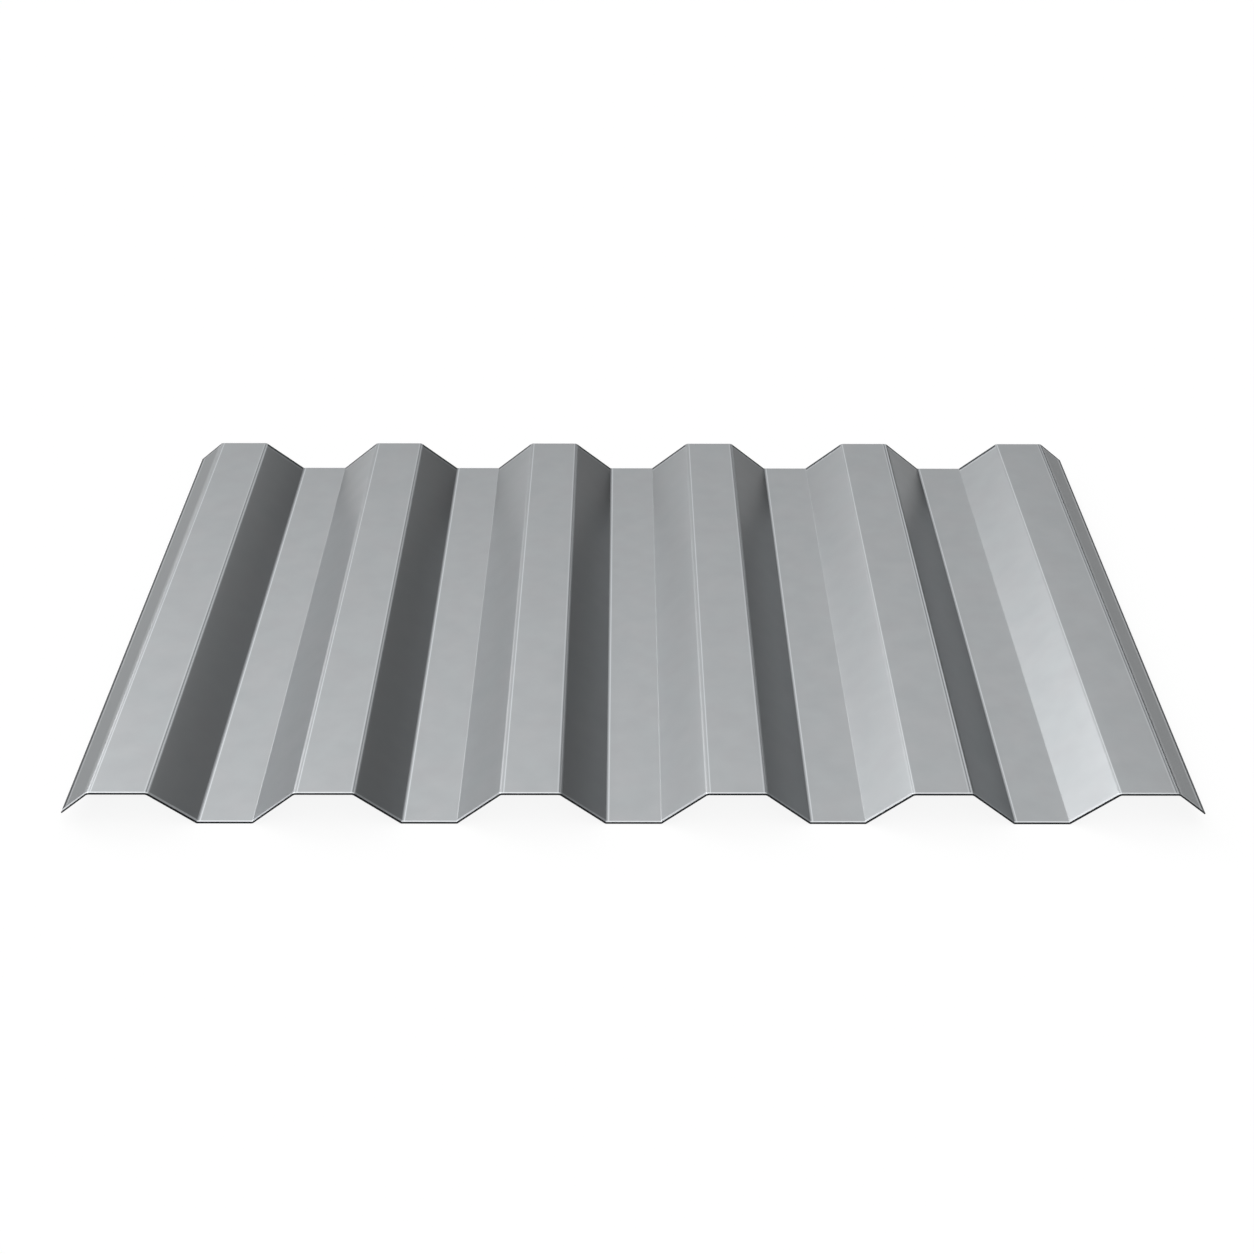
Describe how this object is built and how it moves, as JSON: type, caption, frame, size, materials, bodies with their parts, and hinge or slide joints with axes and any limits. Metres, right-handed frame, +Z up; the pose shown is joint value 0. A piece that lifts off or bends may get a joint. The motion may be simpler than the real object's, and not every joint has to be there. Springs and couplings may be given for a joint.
{
  "type": "corrugated metal sheet",
  "caption": "Trapezoidal corrugated sheet of plain galvanised steel with flat crests and troughs and a short lap leg down each side, for roofs and walls.",
  "frame": {"origin": "under the middle trough, halfway along the sheet, on the plane that the troughs rest on", "axes": "+X across the ribs, +Y along the ribs, +Z up, out of the crests"},
  "size_m": [1.115, 0.7, 0.0375],
  "materials": {
    "galvanised_steel": "satin"
  },
  "bodies": {
    "root": {"profiled_sheet": "galvanised_steel"}
  },
  "joints": []
}
